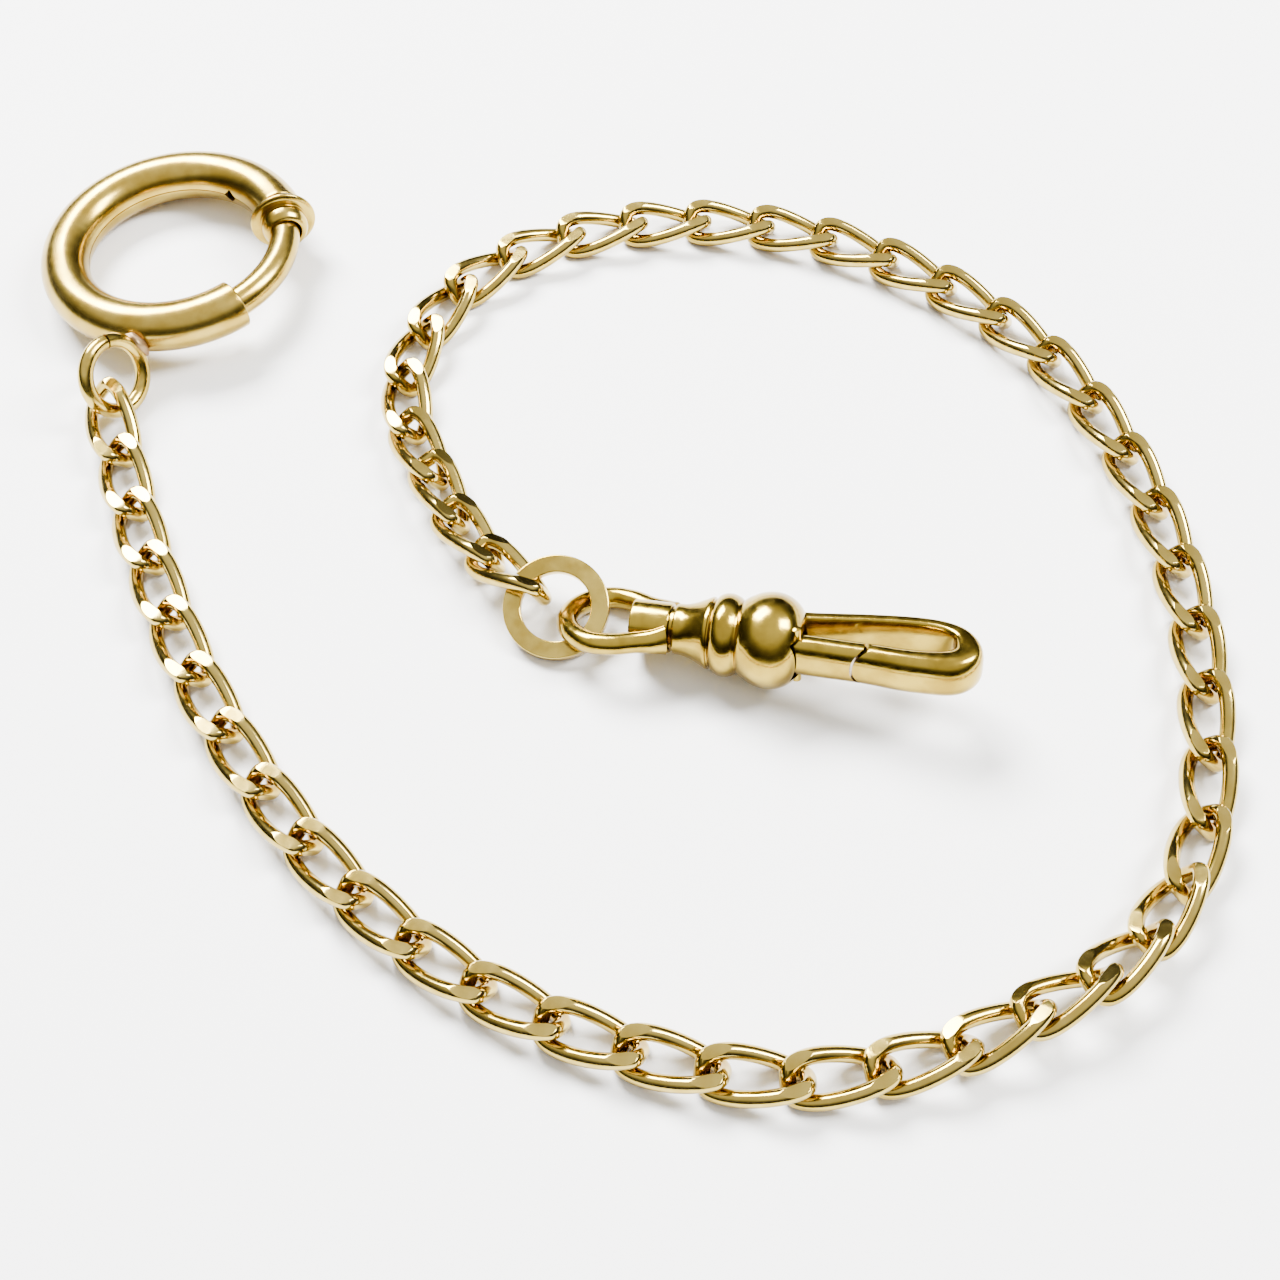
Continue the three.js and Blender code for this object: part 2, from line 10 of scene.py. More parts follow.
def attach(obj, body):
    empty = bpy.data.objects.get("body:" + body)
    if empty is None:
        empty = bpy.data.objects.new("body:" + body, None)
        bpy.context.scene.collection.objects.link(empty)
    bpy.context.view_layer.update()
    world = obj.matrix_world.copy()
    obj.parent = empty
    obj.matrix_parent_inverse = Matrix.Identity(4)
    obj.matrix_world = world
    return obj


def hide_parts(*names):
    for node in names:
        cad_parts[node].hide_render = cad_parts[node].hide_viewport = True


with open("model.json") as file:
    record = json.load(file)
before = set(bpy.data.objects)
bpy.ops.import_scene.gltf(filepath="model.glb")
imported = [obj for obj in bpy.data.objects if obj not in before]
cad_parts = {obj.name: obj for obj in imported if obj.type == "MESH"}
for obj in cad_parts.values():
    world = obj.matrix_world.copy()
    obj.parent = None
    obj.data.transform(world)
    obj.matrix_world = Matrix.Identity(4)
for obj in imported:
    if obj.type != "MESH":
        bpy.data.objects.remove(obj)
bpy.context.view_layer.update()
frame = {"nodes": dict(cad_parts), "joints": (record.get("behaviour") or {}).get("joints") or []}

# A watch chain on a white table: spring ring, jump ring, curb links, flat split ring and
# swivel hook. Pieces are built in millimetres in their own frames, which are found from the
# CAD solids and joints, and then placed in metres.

MM = 0.001
TAU = 2 * math.pi
JOINTS = {joint["name"]: joint for joint in frame["joints"]}


# ---- Frames of the CAD pieces ----

def rigid(origin, x, y):
    """A placement from an origin, an x direction and a rough y direction."""
    x = Vector(x).normalized()
    z = x.cross(Vector(y)).normalized()
    y = z.cross(x)
    matrix = Matrix((x, y, z)).transposed().to_4x4()
    matrix.translation = Vector(origin)
    return matrix


def solid_axes(node):
    """Centre of a node's solid and its three main directions, the longest first."""
    mesh = frame["nodes"][node].data
    mesh.calc_loop_triangles()
    points = np.array([v.co for v in mesh.vertices], float)
    middle = points.mean(0)
    corners = (points - middle)[np.array([t.vertices for t in mesh.loop_triangles])]
    volumes = np.einsum("ij,ij->i", corners[:, 0], np.cross(corners[:, 1], corners[:, 2])) / 6
    sums = corners.sum(1)
    centre = (volumes[:, None] * sums).sum(0) / 4 / volumes.sum()
    squares = np.einsum("tki,tkj->tij", corners, corners) + np.einsum("ti,tj->tij", sums, sums)
    spread = (volumes[:, None, None] * squares).sum(0) / 20 / volumes.sum()
    spread -= np.outer(centre, centre)
    axes = np.linalg.eigh(spread)[1][:, ::-1]
    return Vector(centre + middle), [Vector(axes[:, i]) for i in range(3)]


def joint_point(name):
    return Vector(JOINTS[name]["pos_m"])


def joint_axis(name):
    return Vector(JOINTS[name]["axis"]).normalized()


# ---- Mesh helpers ----

def grid_mesh(rings, closed_along=False, capped=False):
    """A skin over a row of rings, each with the same number of points."""
    mesh = bmesh.new()
    verts = [[mesh.verts.new(point) for point in ring] for ring in rings]
    count = len(rings[0])
    for i in range(len(rings) if closed_along else len(rings) - 1):
        here, there = verts[i], verts[(i + 1) % len(rings)]
        for j in range(count):
            k = (j + 1) % count
            mesh.faces.new((here[j], here[k], there[k], there[j]))
    if capped:
        mesh.faces.new(verts[0][::-1])
        mesh.faces.new(verts[-1])
    bmesh.ops.recalc_face_normals(mesh, faces=mesh.faces)
    return mesh


def lathe(profile, segments=96):
    """A turned solid about +X from rows of (distance along, radius); the ends lie on the axis."""
    mesh = bmesh.new()
    rings = []
    for along, radius in profile:
        if radius < 1e-6:
            rings.append([mesh.verts.new((along, 0, 0))])
        else:
            angles = [TAU * i / segments for i in range(segments)]
            rings.append([mesh.verts.new((along, radius * math.cos(a), radius * math.sin(a)))
                          for a in angles])
    for here, there in zip(rings, rings[1:]):
        for i in range(segments):
            k = (i + 1) % segments
            corners = [here[i % len(here)], here[k % len(here)],
                       there[k % len(there)], there[i % len(there)]]
            unique = list(dict.fromkeys(corners))
            if len(unique) > 2:
                mesh.faces.new(unique)
    bmesh.ops.recalc_face_normals(mesh, faces=mesh.faces)
    return mesh


def hollow_lathe(profile, segments=96):
    """A turned ring about +X; the profile's last point joins its first."""
    rings = []
    for i in range(segments):
        angle = TAU * i / segments
        rings.append([(along, radius * math.cos(angle), radius * math.sin(angle))
                      for along, radius in profile])
    return grid_mesh(rings, closed_along=True)


def rounded(points, radius, steps):
    """The same closed outline with its corners rounded off."""
    made = []
    count = len(points)
    for i, point in enumerate(points):
        here = Vector(point)
        before = Vector(points[i - 1]) - here
        after = Vector(points[(i + 1) % count]) - here
        reach = min(radius, before.length * 0.45, after.length * 0.45)
        start = here + before.normalized() * reach
        end = here + after.normalized() * reach
        for k in range(steps + 1):
            t = k / steps
            made.append(tuple((1 - t) ** 2 * start + 2 * t * (1 - t) * here + t * t * end))
    return made


def spline(points, steps):
    """A smooth curve through a row of points."""
    rows = [Vector(p) for p in points]
    rows = [2 * rows[0] - rows[1]] + rows + [2 * rows[-1] - rows[-2]]
    made = []
    for a, b, c, d in zip(rows, rows[1:], rows[2:], rows[3:]):
        for k in range(steps):
            t = k / steps
            made.append(0.5 * ((2 * b) + (c - a) * t + (2 * a - 5 * b + 4 * c - d) * t * t
                               + (3 * b - a - 3 * c + d) * t ** 3))
    made.append(rows[-2])
    return made


def between(start, end, steps):
    return [start + (end - start) * i / steps for i in range(steps + 1)]


def arc_rings(radius, rows):
    """Rows of (angle, section of outward and upward points), set round an arc about +Z."""
    rings = []
    for angle, section in rows:
        out = Vector((math.cos(angle), math.sin(angle), 0))
        rings.append([out * (radius + p[0]) + Vector((0, 0, p[1])) for p in section])
    return rings


def circle(radius, sides):
    return [(radius * math.cos(TAU * i / sides), radius * math.sin(TAU * i / sides))
            for i in range(sides)]


def neighbours(row, i):
    """The items before and after one, which at an end are the item itself."""
    return row[max(0, i - 1)], row[min(len(row) - 1, i + 1)]


def curve_sweep(centres, radius, sides):
    """A round wire along a row of points."""
    rings = []
    side = None
    for i, centre in enumerate(centres):
        before, after = neighbours(centres, i)
        along = (after - before).normalized()
        if side is None:
            side = along.orthogonal().normalized()
        side = (side - along * side.dot(along)).normalized()
        up = along.cross(side)
        rings.append([centre + side * a + up * b for a, b in circle(radius, sides)])
    return rings


def cut(target, tool):
    """The first solid with the second taken out of it."""
    objects = []
    for source in (target, tool):
        data = bpy.data.meshes.new("cutting")
        source.to_mesh(data)
        source.free()
        thing = bpy.data.objects.new("cutting", data)
        bpy.context.scene.collection.objects.link(thing)
        objects.append(thing)
    modifier = objects[0].modifiers.new("cut", "BOOLEAN")
    modifier.operation = "DIFFERENCE"
    modifier.solver = "EXACT"
    modifier.object = objects[1]
    graph = bpy.context.evaluated_depsgraph_get()
    made = bmesh.new()
    made.from_mesh(objects[0].evaluated_get(graph).to_mesh())
    for thing in objects:
        data = thing.data
        bpy.data.objects.remove(thing)
        bpy.data.meshes.remove(data)
    return made


def box_mesh(low, high):
    mesh = bmesh.new()
    bmesh.ops.create_cube(mesh, size=1)
    low, high = Vector(low), Vector(high)
    for vert in mesh.verts:
        place_at = [(low[i] + high[i]) / 2 + vert.co[i] * (high[i] - low[i]) for i in range(3)]
        vert.co = Vector(place_at)
    return mesh


def cylinder_mesh(radius, depth):
    """A closed cylinder about +Z."""
    mesh = bmesh.new()
    bmesh.ops.create_cone(
        mesh, cap_ends=True, segments=96, radius1=radius, radius2=radius, depth=depth)
    return mesh


def turn(mesh, matrix):
    bmesh.ops.transform(mesh, matrix=matrix, verts=mesh.verts)
    return mesh


def make_data(name, mesh, sharp=32):
    """Mesh data in metres, smooth apart from its real edges."""
    bmesh.ops.scale(mesh, vec=(MM, MM, MM), verts=mesh.verts)
    data = bpy.data.meshes.new(name)
    mesh.to_mesh(data)
    mesh.free()
    data.polygons.foreach_set("use_smooth", [True] * len(data.polygons))
    data.set_sharp_from_angle(angle=math.radians(sharp))
    return data


def place(name, data, matrix, body, material, node=None):
    piece = bpy.data.objects.new(name, data)
    bpy.context.scene.collection.objects.link(piece)
    piece.matrix_world = matrix
    if not data.materials:
        data.materials.append(material)
    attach(piece, body)
    if node:
        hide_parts(node)


def build(name, mesh, matrix, body, material, node=None):
    place(name, make_data(name, mesh), matrix, body, material, node)


# ---- Metal ----

def worn_metal(name, colour, deep, roughness, wear=1.0, stain=0.0):
    """Worn polished metal: uneven tone, fine scratches, tiny pits, and painted shade that darkens
    the crevices.
    """
    material = bpy.data.materials.new(name)
    material.use_nodes = True
    nodes, links = material.node_tree.nodes, material.node_tree.links
    shader = nodes["Principled BSDF"]
    shader.inputs["Metallic"].default_value = 1.0

    def node(kind, **values):
        made = nodes.new(kind)
        for key, value in values.items():
            made.inputs[key].default_value = value
        return made

    place_in = nodes.new("ShaderNodeTexCoord").outputs["Object"]

    def noise(scale, detail=3.0, stretch=(1, 1, 1), turned=(0, 0, 0)):
        mapping = node("ShaderNodeMapping", Scale=stretch, Rotation=turned)
        links.new(place_in, mapping.inputs["Vector"])
        made = node("ShaderNodeTexNoise", Scale=scale, Detail=detail)
        links.new(mapping.outputs["Vector"], made.inputs["Vector"])
        return made.outputs["Fac"]

    def ramp(source, low, high, bottom=0.0, top=1.0):
        made = nodes.new("ShaderNodeMapRange")
        made.interpolation_type = "SMOOTHSTEP"
        limits = {"From Min": low, "From Max": high, "To Min": bottom, "To Max": top}
        for key, value in limits.items():
            made.inputs[key].default_value = value
        links.new(source, made.inputs["Value"])
        return made.outputs["Result"]

    def mix(factor, first, second):
        made = nodes.new("ShaderNodeMix")
        made.data_type = "RGBA"
        links.new(factor, made.inputs[0])
        for value, socket in ((first, made.inputs[6]), (second, made.inputs[7])):
            if isinstance(value, tuple):
                socket.default_value = (*value, 1)
            else:
                links.new(value, socket)
        return made.outputs[2]

    tone = mix(ramp(noise(420), 0.35, 0.7), colour, deep)
    # Painted shade: an ambient occlusion mask darkens the base colour toward a deeper brown in
    # crevices and where parts meet.
    crevice_shade = node("ShaderNodeAmbientOcclusion", Distance=0.0009)
    crevice_shade.samples = 6
    crevice_shade.inside = False
    crevice_shade_colour = tuple(c * f for c, f in zip(deep, (0.62, 0.5, 0.4)))
    tone = mix(ramp(crevice_shade.outputs["AO"], 0.25, 0.75, 1.0, 0.0), tone, crevice_shade_colour)
    if stain:
        patch = ramp(noise(260, 5.0), 0.56 - stain * 0.1, 0.75)
        tone = mix(patch, tone, (0.42, 0.2, 0.09))
    links.new(tone, shader.inputs["Base Color"])

    rough = ramp(noise(1500, 4.0), 0.3, 0.75, roughness, roughness + 0.12 * wear)
    links.new(rough, shader.inputs["Roughness"])

    scratches = nodes.new("ShaderNodeMath")
    scratches.operation = "ADD"
    first = ramp(noise(900, 2.0, (1, 14, 14), (0.3, 0.2, 0.5)), 0.6, 0.75)
    second = ramp(noise(800, 2.0, (12, 1, 12), (0.1, 0.7, -0.4)), 0.62, 0.76)
    links.new(first, scratches.inputs[0])
    links.new(second, scratches.inputs[1])
    pits = nodes.new("ShaderNodeMath")
    pits.operation = "MULTIPLY_ADD"
    links.new(noise(600, 2.0), pits.inputs[0])
    pits.inputs[1].default_value = 3.0
    links.new(scratches.outputs[0], pits.inputs[2])
    bump = node("ShaderNodeBump", Strength=0.18 * wear, Distance=0.00001)
    links.new(pits.outputs[0], bump.inputs["Height"])
    links.new(bump.outputs["Normal"], shader.inputs["Normal"])
    return material


CHAIN_GOLD = worn_metal("chain_gold", (0.54, 0.405, 0.1), (0.41, 0.285, 0.045), 0.12, 0.4)
ROSE_GOLD = worn_metal("rose_gold", (0.47, 0.335, 0.065), (0.36, 0.235, 0.03), 0.2, 0.35)
SOLDERED = worn_metal("soldered_gold", (0.34, 0.23, 0.12), (0.2, 0.12, 0.06), 0.36, 2.5, stain=1.0)
RING_GOLD = worn_metal("ring_gold", (0.62, 0.46, 0.1), (0.42, 0.29, 0.045), 0.13, 0.9)
SWIVEL_GOLD = worn_metal("swivel_gold", (0.44, 0.31, 0.04), (0.29, 0.19, 0.02), 0.12, 0.8)
STEEL = worn_metal("spring_steel", (0.52, 0.52, 0.51), (0.36, 0.35, 0.33), 0.3)


# ---- Curb links ----

LINK_HALF_LENGTH = 3.435
LINK_HALF_WIDTH = 1.5
LINK_SQUARENESS = 4.2
LINK_TWIST = math.radians(48)
LINK_WIRE_RADIUS = 0.575
LINK_FACET = 1.2
LINK_COUNT = 47
LINK_STATIONS = 96
FACET_SOFTNESS = 0.05
FACET_STEPS = 5
ROUND_STEPS = 8


def link_centre(t):
    angle = TAU * t
    power = 2 / LINK_SQUARENESS
    cos, sin = math.cos(angle), math.sin(angle)
    along = LINK_HALF_LENGTH * math.copysign(abs(cos) ** power, cos)
    across = LINK_HALF_WIDTH * math.copysign(abs(sin) ** power, sin)
    twist = -LINK_TWIST * along / LINK_HALF_LENGTH
    return Vector((along, across * math.cos(twist), across * math.sin(twist)))


def link_section(reach, lean):
    """Angles round the wire, close together where a filed flat begins.

    reach is how far the flat lies from the wire's middle, and lean how upright the section is.
    """
    def edge(distance):
        sine = min(0.985, max(-0.9, distance / (LINK_WIRE_RADIUS * lean)))
        return math.asin(sine)

    top, bottom = edge(reach[0]), edge(reach[1])
    soft = FACET_SOFTNESS
    angles = []
    flats = ((top, math.pi - top), (math.pi + bottom, TAU - bottom))
    for k, (start, end) in enumerate(flats):
        inner = [start + soft + (end - start - 2 * soft) * i / FACET_STEPS
                 for i in range(FACET_STEPS + 1)]
        angles += [start - soft, start, *inner, end, end + soft]
        following = flats[1][0] if k == 0 else flats[0][0] + TAU
        first, last = end + soft, following - soft
        angles += [first + (last - first) * i / ROUND_STEPS for i in range(1, ROUND_STEPS)]
    return angles


def link_stations(count):
    """Evenly spaced points on the link's middle line."""
    fine = [link_centre(i / 4800) for i in range(4801)]
    walked = np.cumsum([0.0] + [(b - a).length for a, b in zip(fine, fine[1:])])
    marks = np.searchsorted(walked, walked[-1] * np.arange(count) / count)
    return [fine[i] for i in marks]


def link_mesh():
    rings = []
    up = Vector((0, 0, 1))
    stations = link_stations(LINK_STATIONS)
    for i, centre in enumerate(stations):
        along = (stations[(i + 1) % len(stations)] - stations[i - 1]).normalized()
        side = up.cross(along).normalized()
        top = along.cross(side)
        ring = []
        for angle in link_section((LINK_FACET - centre.z, LINK_FACET + centre.z), top.z):
            point = centre + LINK_WIRE_RADIUS * (math.cos(angle) * side + math.sin(angle) * top)
            point.z = min(LINK_FACET, max(-LINK_FACET, point.z))
            ring.append(point)
        rings.append(ring)
    return grid_mesh(rings, closed_along=True)


link_data = make_data("curb_link", link_mesh(), sharp=28)
for number in range(1, LINK_COUNT + 1):
    cad_name = f"chain_link_{number:02d}"
    centre, axes = solid_axes(cad_name)
    place(f"link_{number:02d}", link_data, rigid(centre, axes[0], axes[1]), cad_name,
          CHAIN_GOLD, cad_name)


# ---- Spring ring ----

RING_RADIUS = 9.3
RING_TUBE_RADIUS = 2
RING_BORE_RADIUS = 1.34
TUBE_START, TUBE_END = math.radians(24.5), math.radians(311)
BOLT_RADIUS = 1.24
BOLT_START, BOLT_END = math.radians(22), math.radians(-62)
KNOB_ANGLE = math.radians(18.5)
SEAM_ANGLE = math.radians(58)
TUBE_LIP = 0.1
BOLT_LIP = 0.12
SEAM_DEPTH = 0.12
SEAM_HOLE_HALF = (0.7, 0.45, 0.45)
RING_COIL_START, RING_COIL_SWEEP = -108, -18
RING_COIL_TURNS = 6
RING_COIL_WIRE = 0.16

ring_centre = joint_point("bolt_slide")
ring_up = joint_axis("bolt_slide")
towards_bolt = solid_axes("spring_ring_bolt")[0] - ring_centre
middle_of_bolt = (BOLT_START + BOLT_END) / 2
ring_x = Matrix.Rotation(-middle_of_bolt, 3, ring_up) @ towards_bolt
ring_frame = rigid(ring_centre, ring_x, ring_up.cross(ring_x))


def tube_section():
    """The tube's outside, with the fine seam where its sheet meets on the inner side."""
    half = math.radians(1.6)
    angles = [math.pi + half + (TAU - 2 * half) * i / 60 for i in range(61)]
    outside = [(RING_TUBE_RADIUS * math.cos(a), RING_TUBE_RADIUS * math.sin(a)) for a in angles]
    return outside + [(SEAM_DEPTH - RING_TUBE_RADIUS, 0.0)]


def lip_rows(angle, inward, section, radius, reach, steps=4):
    """Sections that round the lip of a tube over, from its end face back to full size."""
    rows = []
    for k in range(steps):
        bend = math.pi / 2 * k / steps
        factor = 1 - reach * (1 - math.sin(bend)) / radius
        back = inward * reach * (1 - math.cos(bend)) / RING_RADIUS
        rows.append((angle + back, [(x * factor, y * factor) for x, y in section]))
    return rows


def tube_mesh():
    """Outside, rounded lips and bore, joined into one closed skin."""
    outer = tube_section()
    angles = [math.pi + TAU * i / len(outer) for i in range(len(outer))]
    bore = [(RING_BORE_RADIUS * math.cos(a), RING_BORE_RADIUS * math.sin(a)) for a in angles]
    turn_in = TUBE_LIP / RING_RADIUS
    rows = lip_rows(TUBE_START, 1, outer, RING_TUBE_RADIUS, TUBE_LIP)
    rows += [(a, outer) for a in between(TUBE_START + turn_in, TUBE_END - turn_in, 168)]
    rows += lip_rows(TUBE_END, -1, outer, RING_TUBE_RADIUS, TUBE_LIP)[::-1]
    rows += [(a, bore) for a in between(TUBE_END, TUBE_START, 168)]
    tube = grid_mesh(arc_rings(RING_RADIUS, rows), closed_along=True)

    seam_hole = box_mesh([-half for half in SEAM_HOLE_HALF], SEAM_HOLE_HALF)
    turn(seam_hole, Matrix.Rotation(math.radians(45), 4, "X"))
    turn(seam_hole, Matrix.Translation((RING_RADIUS - RING_TUBE_RADIUS, 0, 0)))
    turn(seam_hole, Matrix.Rotation(SEAM_ANGLE, 4, "Z"))
    return cut(tube, seam_hole)


def bolt_mesh():
    section = circle(BOLT_RADIUS, 40)
    turn_in = BOLT_LIP / RING_RADIUS
    rows = lip_rows(BOLT_START, -1, section, BOLT_RADIUS, BOLT_LIP)
    rows += [(a, section) for a in between(BOLT_START - turn_in, BOLT_END + turn_in, 90)]
    rows += lip_rows(BOLT_END, 1, section, BOLT_RADIUS, BOLT_LIP)[::-1]
    return grid_mesh(arc_rings(RING_RADIUS, rows), capped=True)


def knob_mesh():
    """A thin dished flange, then a neck and a bead that the bolt comes out of."""
    profile = rounded([
        (-0.35, 1.25), (-0.35, 1.8), (-0.1, 2.5), (0.1, 2.75), (0.35, 2.75), (0.5, 2.45),
        (0.5, 1.85), (0.95, 2.0), (1.45, 1.88), (1.8, 1.66), (1.9, 1.5), (1.9, 1.25),
    ], 0.14, 4)
    knob = hollow_lathe(profile)
    turn(knob, Matrix.Rotation(math.radians(-90), 4, "Z"))
    turn(knob, Matrix.Translation((RING_RADIUS, 0, 0)))
    return turn(knob, Matrix.Rotation(KNOB_ANGLE, 4, "Z"))


def ring_spring_mesh():
    centres = []
    for i in range(241):
        t = i / 240
        angle = math.radians(RING_COIL_START + RING_COIL_SWEEP * t)
        coil = TAU * RING_COIL_TURNS * t
        reach = RING_RADIUS + math.cos(coil)
        centres.append(Vector((reach * math.cos(angle), reach * math.sin(angle), math.sin(coil))))
    return grid_mesh(curve_sweep(centres, RING_COIL_WIRE, 10), capped=True)


build("ring_tube", tube_mesh(), ring_frame, "spring_ring", ROSE_GOLD,
      "spring_ring_tube")
build("ring_bolt", bolt_mesh(), ring_frame, "ring_bolt", ROSE_GOLD,
      "spring_ring_bolt")
build("ring_knob", knob_mesh(), ring_frame, "ring_bolt", ROSE_GOLD, "thumb_knob")
build("ring_coil", ring_spring_mesh(), ring_frame, "spring_ring", STEEL,
      "spring_ring_spring")


# ---- Jump ring ----

JUMP_RADIUS = 2.8
JUMP_WIRE = 0.62
JUMP_CUT_ANGLE = math.radians(62)
JUMP_CUT_HALF = math.radians(1.7)
SOLDER_REACH = 3.3
SOLDER_RADII = (0.62, 1.25, 0.85)

jump_centre, jump_axes = solid_axes("jump_ring")
towards_tube = ring_centre - jump_centre
jump_up = jump_axes[2] if jump_axes[2].x > 0 else -jump_axes[2]
jump_x = towards_tube - jump_up * towards_tube.dot(jump_up)
jump_frame = rigid(jump_centre, jump_x, jump_up.cross(jump_x))


def jump_ring_mesh():
    """A round wire ring, its ends meeting in a thin open cut."""
    section = circle(JUMP_WIRE, 32)
    start, end = JUMP_CUT_ANGLE + JUMP_CUT_HALF, JUMP_CUT_ANGLE + TAU - JUMP_CUT_HALF
    rows = [(angle, section) for angle in between(start, end, 120)]
    return grid_mesh(arc_rings(JUMP_RADIUS, rows), capped=True)


def solder_mesh():
    """The flowed solder between the tube and the jump ring."""
    mesh = bmesh.new()
    bmesh.ops.create_icosphere(mesh, subdivisions=5, radius=1)
    for vert in mesh.verts:
        p = vert.co.normalized()
        lump = 1 + 0.06 * math.sin(5 * p.x + 2 * p.y) * math.sin(6 * p.z - 3 * p.y)
        vert.co = Vector([p[i] * SOLDER_RADII[i] for i in range(3)]) * lump
    return mesh


build("jump_wire", jump_ring_mesh(), jump_frame, "spring_ring", RING_GOLD, "jump_ring")
solder_frame = jump_frame @ Matrix.Translation((SOLDER_REACH * MM, 0, 0))
build("jump_solder", solder_mesh(), solder_frame, "spring_ring", SOLDERED)


# ---- Flat split ring ----

FLAT_OUTER = 4.0
FLAT_INNER = 2.65
FLAT_THICKNESS = 0.85
FLAT_EDGE_RADIUS = 0.13
FLAT_SPLIT_HALF = math.radians(0.9)
FLAT_RIM_FROM = 3.4

flat_centroid, flat_axes = solid_axes("flat_ring")
flat_up = flat_axes[2] if flat_axes[2].z > 0 else -flat_axes[2]


def circle_centre(node, origin, x, y, far):
    """The middle of the circle through the vertices that are more than far from the origin."""
    offsets = [v.co - origin for v in frame["nodes"][node].data.vertices]
    flat = np.array([(o.dot(x), o.dot(y)) for o in offsets])
    rim = flat[np.hypot(flat[:, 0], flat[:, 1]) > far]
    rows = np.column_stack([2 * rim, np.ones(len(rim))])
    u, v, _ = np.linalg.lstsq(rows, (rim ** 2).sum(1), rcond=None)[0]
    return origin + x * u + y * v


flat_centre = circle_centre(
    "flat_ring", flat_centroid, flat_axes[0], flat_axes[1], FLAT_RIM_FROM * MM)
flat_x = flat_centre - flat_centroid
flat_frame = rigid(flat_centre, flat_x, flat_up.cross(flat_x))


def flat_ring_mesh():
    """A flat band with eased edges, its ends facing each other at a fine split."""
    width = FLAT_OUTER - FLAT_INNER
    half = FLAT_THICKNESS / 2
    middle = (FLAT_OUTER + FLAT_INNER) / 2
    corners = [(width / 2, -half), (width / 2, half), (-width / 2, half), (-width / 2, -half)]
    section = rounded(corners, FLAT_EDGE_RADIUS, 4)
    angles = between(FLAT_SPLIT_HALF, TAU - FLAT_SPLIT_HALF, 200)
    return grid_mesh(arc_rings(middle, [(angle, section) for angle in angles]), capped=True)


build("split_ring", flat_ring_mesh(), flat_frame, "flat_ring_body", RING_GOLD,
      "flat_ring")


# ---- Swivel: bow, collar and stem ----

BOW_RADIUS = 3.3
BOW_WIRE = 0.8
BOW_TO_COLLAR = 1.7
COLLAR_RADIUS = 1.85
COLLAR_LENGTH = 2.9
COLLAR_EDGE = 0.05
STEM_BORE = 0.95
HEAD_BORE = 1.35
BOW_SEAT_GAP = 0.04
BOW_SEAT_DEPTH = 6
BOW_FLARE = 0.45
BOW_FLARE_STATIONS = 22

seam_point = joint_point("swivel_spin")
swivel_axis = joint_axis("swivel_spin")
shank_frame = rigid(seam_point, swivel_axis, joint_axis("flat_ring_to_bow"))


def bow_mesh():
    """A round wire loop whose two arms run along the sides of the collar."""
    arm = [(BOW_TO_COLLAR + 2.75, 1.7, 0), (BOW_TO_COLLAR + 1.9, 2.12, 0),
           (BOW_TO_COLLAR + 0.7, 2.5, 0), (0.9, 3.1, 0), (-0.8, 3.2, 0), (-2.3, 2.35, 0),
           (-3.1, 1.15, 0)]
    other_arm = [(x, -y, z) for x, y, z in reversed(arm)]
    centres = spline([*arm, (-BOW_RADIUS, 0, 0), *other_arm], 10)
    rings = []
    for i, centre in enumerate(centres):
        before, after = neighbours(centres, i)
        along = (after - before).normalized()
        out = Vector((along.y, -along.x, 0))
        from_end = min(i, len(centres) - 1 - i)
        flare = 1 + BOW_FLARE * max(0.0, 1 - from_end / BOW_FLARE_STATIONS) ** 1.5
        rings.append([centre + out * a + Vector((0, 0, b * flare)) for a, b in circle(BOW_WIRE, 36)])
    wire = grid_mesh(rings, capped=True)
    seat = cylinder_mesh(COLLAR_RADIUS + BOW_SEAT_GAP, BOW_SEAT_DEPTH)
    turn(seat, Matrix.Rotation(math.radians(90), 4, "Y"))
    turn(seat, Matrix.Translation((BOW_TO_COLLAR - BOW_SEAT_GAP + BOW_SEAT_DEPTH / 2, 0, 0)))
    return turn(cut(wire, seat), Matrix.Translation((-COLLAR_LENGTH - BOW_TO_COLLAR, 0, 0)))


def collar_mesh():
    profile = rounded([
        (-COLLAR_LENGTH, HEAD_BORE), (-COLLAR_LENGTH, COLLAR_RADIUS - COLLAR_EDGE),
        (-COLLAR_LENGTH + 0.1, COLLAR_RADIUS), (-0.1, COLLAR_RADIUS),
        (0, COLLAR_RADIUS - COLLAR_EDGE), (0, STEM_BORE),
        (-COLLAR_LENGTH + 0.7, STEM_BORE), (-COLLAR_LENGTH + 0.7, HEAD_BORE),
    ], 0.08, 3)
    return hollow_lathe(profile)


def stem_mesh():
    profile = [(-2.95, 0), (-2.93, 0.6), (-2.86, 1.0), (-2.72, 1.15), (-2.4, 1.15), (-2.4, 0.75),
               (1.9, 0.75), (1.9, 1.15), (2.4, 1.15), (2.4, 0)]
    return lathe(profile, 64)


build("bow_ring", bow_mesh(), shank_frame, "swivel_shank", SWIVEL_GOLD,
      "swivel_bow")
build("collar", collar_mesh(), shank_frame, "swivel_shank", SWIVEL_GOLD,
      "swivel_collar")
build("stem", stem_mesh(), shank_frame, "swivel_shank", SWIVEL_GOLD, "swivel_stem")


# ---- Swivel: body, hook and gate ----

hook_up = joint_axis("gate_hinge")
hook_frame = rigid(seam_point, swivel_axis, hook_up.cross(swivel_axis))
GATE_PIVOT = (9.5, -1.1)
SEAT_CENTRE = 15.35
SEAT_RADIUS = 1.65
SEAT_Y = -1.2
GATE_GAP = 0.2
SEAT_DEPTH = 8
BAR_SIDES = 56
PIN_RADIUS = 0.35
PIN_HALF_LENGTH = 2.46
GATE_COIL_RADIUS = 0.68
GATE_COIL_TURNS = 3
GATE_COIL_LENGTH = 0.9
GATE_COIL_WIRE = 0.12


